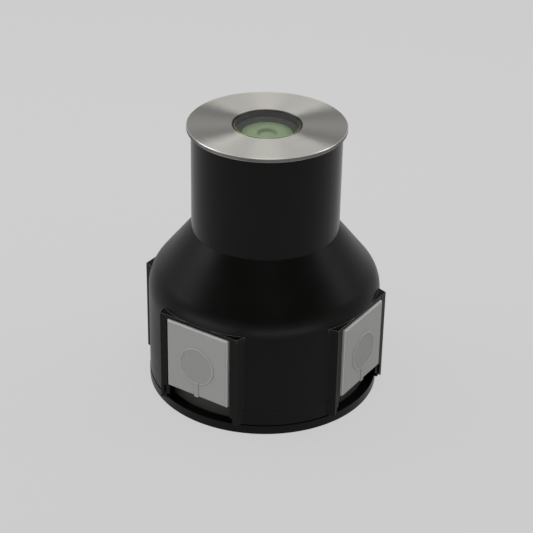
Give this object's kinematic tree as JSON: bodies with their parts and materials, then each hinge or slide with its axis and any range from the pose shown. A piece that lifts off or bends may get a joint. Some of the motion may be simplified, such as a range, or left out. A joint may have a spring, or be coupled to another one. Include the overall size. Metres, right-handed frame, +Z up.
{
  "type": "in-ground well light",
  "caption": "Round in-ground uplight: stainless trim with a small glass, lift-out lamp with aimable optic, and a black bell housing with sliding entry plates.",
  "frame": {"origin": "centre of the underside of the base ring", "axes": "+Z up along the light's axis to the trim face; entry plates face -Y (front), +X, +Y and -X"},
  "size_m": [0.1682, 0.1682, 0.198],
  "materials": {
    "housing_black": "fine satin moulded black",
    "sleeve_black": "smooth satin black tube",
    "plate_grey": "matt grey, stippled disc",
    "trim_steel": "circular brushed stainless",
    "seal_rubber": "matt black",
    "clear_glass": "clear, slightly green",
    "lens_acrylic": "clear moulded lens",
    "cast_aluminium": "die cast, satin",
    "sheet_steel": "plain sheet",
    "screw_steel": "stainless fasteners",
    "holder_black": "matt black",
    "driver_white": "potted driver case",
    "terminal_ivory": "ivory plastic",
    "board_white": "white solder mask",
    "chip_phosphor": "yellow phosphor",
    "wire_brown": "brown insulation",
    "lead_grey": "grey sheath",
    "gland_black": "black nylon"
  },
  "bodies": {
    "housing": {"neck_sleeve": "sleeve_black", "bell_housing": "housing_black", "base_ring": "housing_black", "base_screws": "screw_steel"},
    "lamp": {"trim_ring": "trim_steel", "trim_seal": "seal_rubber", "trim_screws": "screw_steel", "front_glass": "clear_glass", "glass_gasket": "seal_rubber", "seat_gasket": "seal_rubber", "lamp_body": "cast_aluminium", "retaining_springs": "sheet_steel", "bearing_plate": "cast_aluminium", "bearing_screws": "screw_steel", "driver_module": "driver_white", "driver_tray": "sheet_steel", "tray_screws": "screw_steel", "terminal_block": "terminal_ivory", "input_leads": "wire_brown", "output_lead": "lead_grey", "rear_cover": "cast_aluminium", "rear_seal": "seal_rubber", "rear_screws": "screw_steel", "gland_body": "gland_black", "gland_seal": "seal_rubber", "gland_nut": "gland_black", "vent_plug": "gland_black"},
    "pan_table": {"turntable": "holder_black", "pan_circlip": "sheet_steel", "tilt_pins": "screw_steel"},
    "optic_head": {"heat_sink": "cast_aluminium", "led_board": "board_white", "led_chip": "chip_phosphor", "board_lead": "lead_grey", "lens_holder": "holder_black", "lens": "lens_acrylic"},
    "plate_front": {"entry_plate_front": "plate_grey"},
    "plate_right": {"entry_plate_right": "plate_grey"},
    "plate_back": {"entry_plate_back": "plate_grey"},
    "plate_left": {"entry_plate_left": "plate_grey"}
  },
  "joints": [
    {"name": "lamp_lift", "type": "slide", "parent": "housing", "child": "lamp", "axis": [0, 0, 1], "range_m": [0, 0.125]},
    {"name": "optic_pan", "type": "hinge", "parent": "lamp", "child": "pan_table", "pos_m": [0, 0, 0.1469], "axis": [0, 0, 1], "range_deg": [-175, 175]},
    {"name": "optic_tilt", "type": "hinge", "parent": "pan_table", "child": "optic_head", "pos_m": [0, 0, 0.165], "axis": [1, 0, 0], "range_deg": [-10, 10]},
    {"name": "plate_front_slide", "type": "slide", "parent": "housing", "child": "plate_front", "axis": [0, 0, -1], "range_m": [0, 0.012]},
    {"name": "plate_right_slide", "type": "slide", "parent": "housing", "child": "plate_right", "axis": [0, 0, -1], "range_m": [0, 0.012]},
    {"name": "plate_back_slide", "type": "slide", "parent": "housing", "child": "plate_back", "axis": [0, 0, -1], "range_m": [0, 0.012]},
    {"name": "plate_left_slide", "type": "slide", "parent": "housing", "child": "plate_left", "axis": [0, 0, -1], "range_m": [0, 0.012]}
  ]
}
